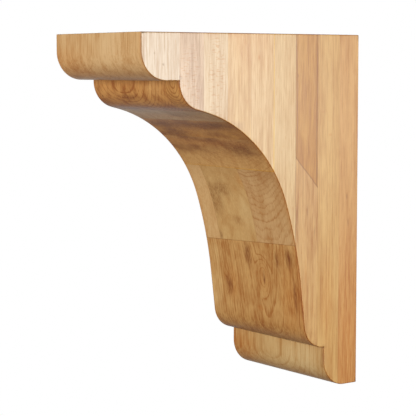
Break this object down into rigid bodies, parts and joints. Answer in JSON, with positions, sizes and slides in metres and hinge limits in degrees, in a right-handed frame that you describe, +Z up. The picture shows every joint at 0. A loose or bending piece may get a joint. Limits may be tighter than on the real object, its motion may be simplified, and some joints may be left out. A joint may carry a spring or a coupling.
{
  "type": "wooden corbel bracket",
  "caption": "Solid wood corbel for a shelf or mantel, glued up from boards, with a rounded lip, ovolo, long cove, nosing and small foot.",
  "frame": {"origin": "centre of the flat wall face, where the corbel is fixed", "axes": "+Y into the wall, square to the wall face; +Z up, along the height; +X along the width, to the right of someone facing the wall"},
  "size_m": [0.1524, 0.2635, 0.3556],
  "materials": {
    "wood_pale": "satin",
    "wood_tan": "satin",
    "wood_brown": "satin"
  },
  "bodies": {
    "root": {"wall_board": "wood_tan", "second_board": "wood_tan", "knotty_board": "wood_brown", "cove_strip_left": "wood_tan", "cove_strip_middle": "wood_tan", "cove_strip_right": "wood_tan", "fifth_board": "wood_pale", "sixth_board": "wood_pale", "seventh_board": "wood_pale", "ovolo_board": "wood_pale", "ovolo_strip": "wood_tan", "lip_board": "wood_pale"}
  },
  "joints": []
}
